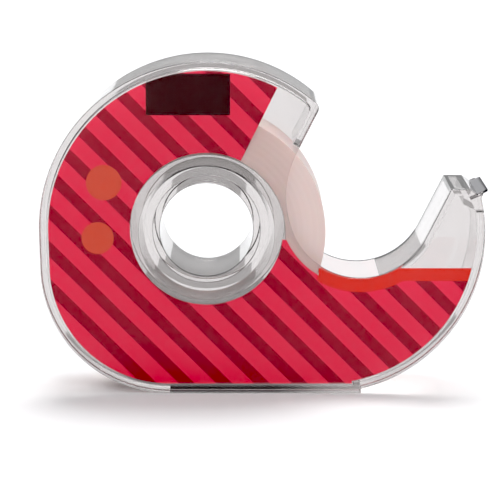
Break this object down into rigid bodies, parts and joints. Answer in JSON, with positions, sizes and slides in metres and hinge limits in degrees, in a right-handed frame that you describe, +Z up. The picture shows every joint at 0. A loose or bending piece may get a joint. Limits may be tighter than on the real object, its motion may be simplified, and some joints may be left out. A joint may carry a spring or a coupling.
{
  "type": "tape dispenser",
  "caption": "Hand-held clear snail-shaped tape dispenser with a turning tape roll, finger gap, red printed label and serrated cutter.",
  "frame": {"origin": "middle of the dispenser's footprint, on the surface it stands on", "axes": "+X towards the arm and cutter, -Y out of the labelled side, +Z up"},
  "size_m": [0.0836, 0.0222, 0.0622],
  "materials": {
    "clear_shell": "clear polished polystyrene",
    "printed_label": null,
    "blade_steel": "thin stamped steel",
    "clear_core": "clear moulded plastic",
    "wound_tape": "wound clear tape, semi-gloss sides"
  },
  "bodies": {
    "shell": {"rear_body": "clear_shell", "front_cover": "clear_shell", "front_label": "printed_label", "cutter_blade": "blade_steel"},
    "tape": {"tape_core": "clear_core", "tape_roll": "wound_tape"}
  },
  "joints": [
    {"name": "roll_spin", "type": "hinge", "parent": "shell", "child": "tape", "pos_m": [-0.0106, 0, 0.0302], "axis": [0, 1, 0], "continuous": true}
  ]
}
